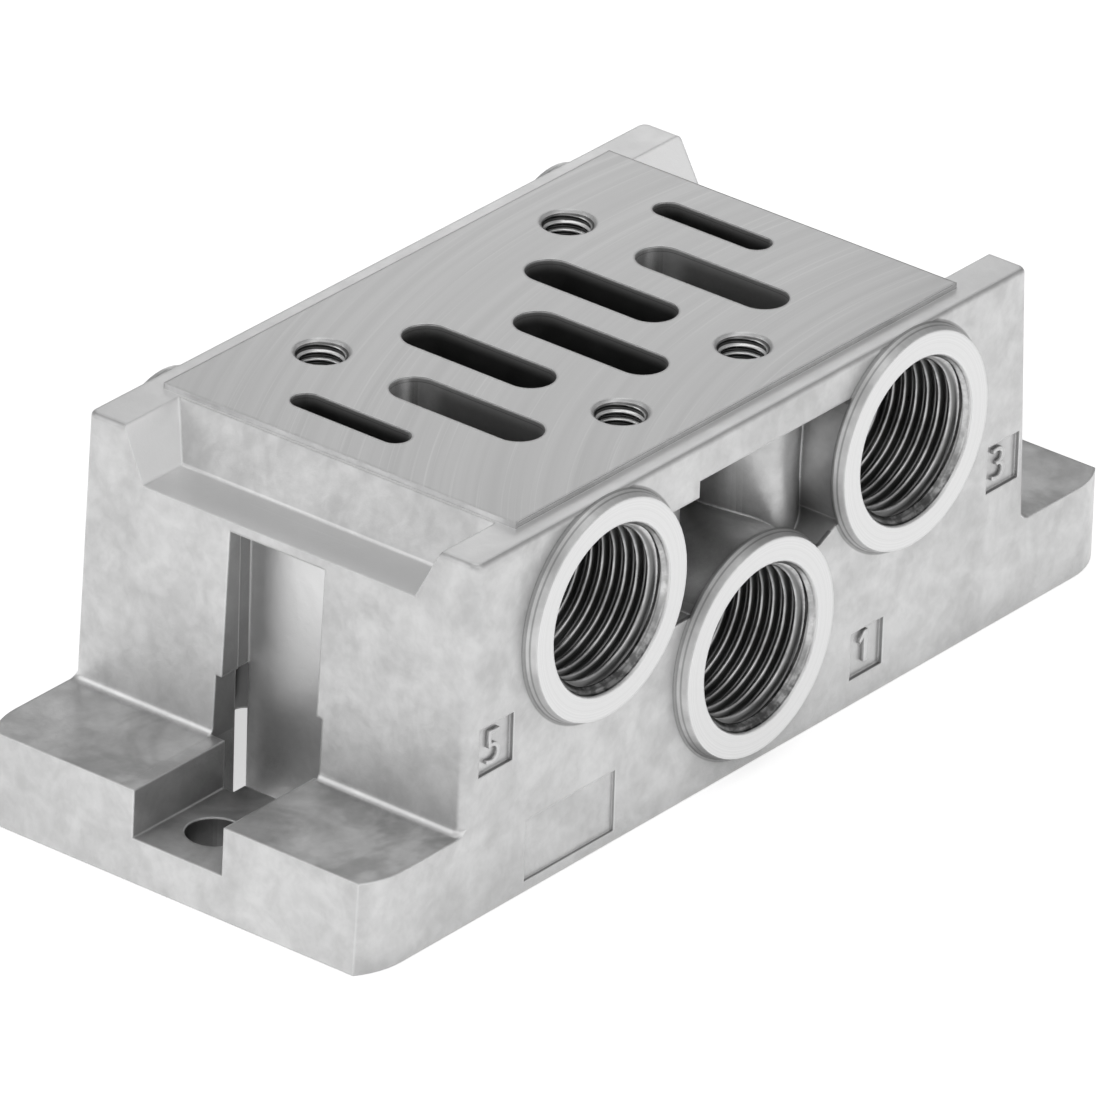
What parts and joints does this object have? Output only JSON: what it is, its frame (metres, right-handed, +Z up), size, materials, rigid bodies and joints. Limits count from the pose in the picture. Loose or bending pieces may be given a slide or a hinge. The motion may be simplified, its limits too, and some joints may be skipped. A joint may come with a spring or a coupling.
{
  "type": "pneumatic valve subbase",
  "caption": "Individual die-cast subbase for a five-port pneumatic valve, with slotted interface on top, threaded ports front and rear and notched feet.",
  "frame": {"origin": "on the mounting plane, under the middle of the block", "axes": "+X along the block towards port 3, -Y out of the face with ports 1, 3 and 5, +Z up out of the valve interface"},
  "size_m": [0.11, 0.0486, 0.037],
  "materials": {
    "cast_aluminium": "as cast, machined at the interface and the port faces"
  },
  "bodies": {
    "root": {"subbase_body": "cast_aluminium"}
  },
  "joints": []
}
